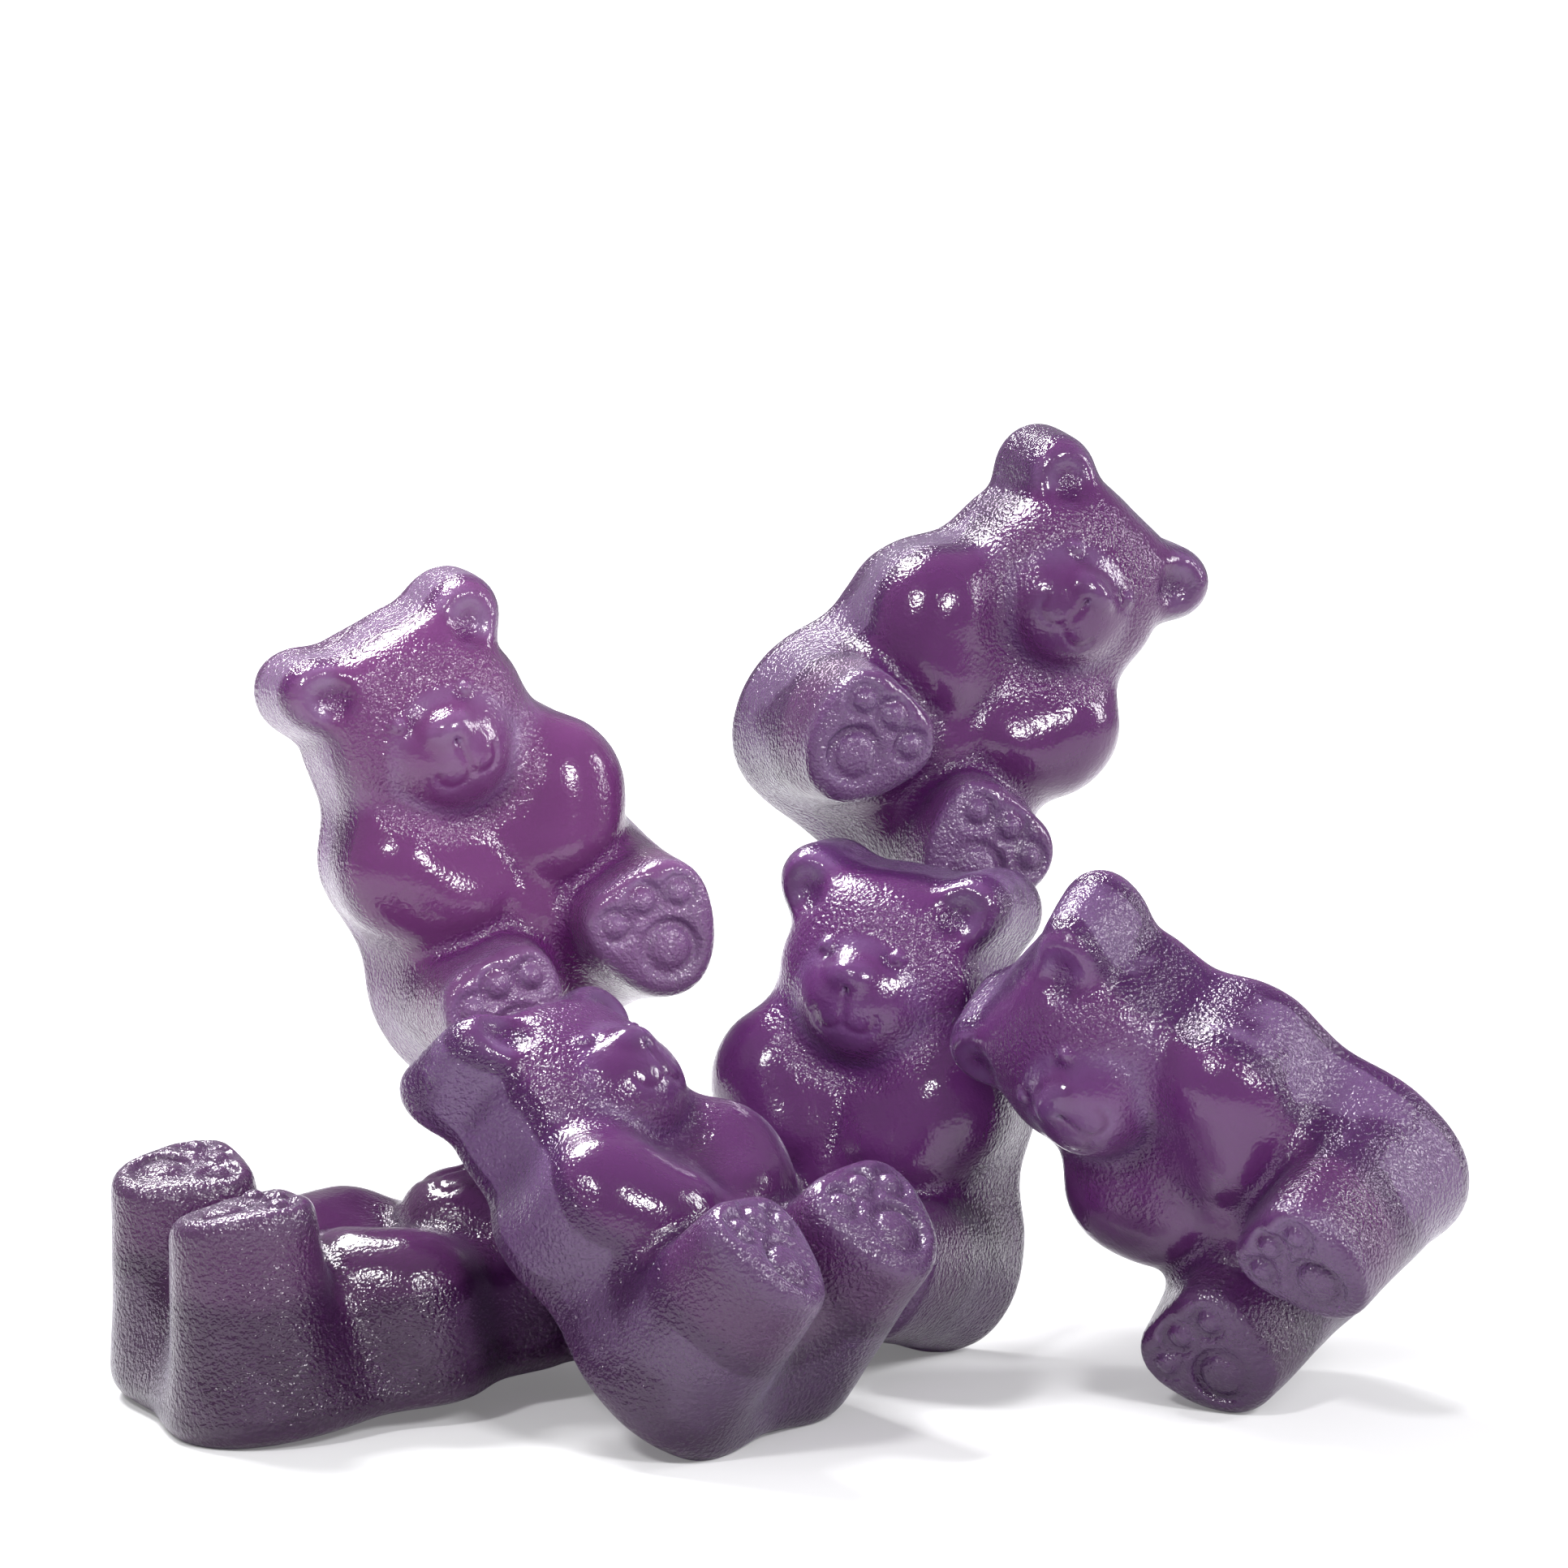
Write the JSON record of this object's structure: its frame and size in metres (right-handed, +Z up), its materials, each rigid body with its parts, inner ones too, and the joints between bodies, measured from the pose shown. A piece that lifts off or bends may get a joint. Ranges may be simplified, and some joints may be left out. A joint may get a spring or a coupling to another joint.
{
  "type": "gummy bears",
  "caption": "Loose pile of purple moulded gelatine bears with flat backs, raised paws and soft translucent bodies.",
  "frame": {"origin": "middle of the pile's footprint, on the surface it rests on", "axes": "+Z up, -Y towards the side the pile is seen from, +X to that viewer's right"},
  "size_m": [0.0632, 0.045, 0.0429],
  "materials": {
    "gel": "gloss"
  },
  "bodies": {
    "root": {"bear_left_lying": "gel", "bear_front_leaning": "gel", "bear_centre_standing": "gel", "bear_right_leaning": "gel", "bear_upper_left": "gel", "bear_upper_right": "gel"}
  },
  "joints": []
}
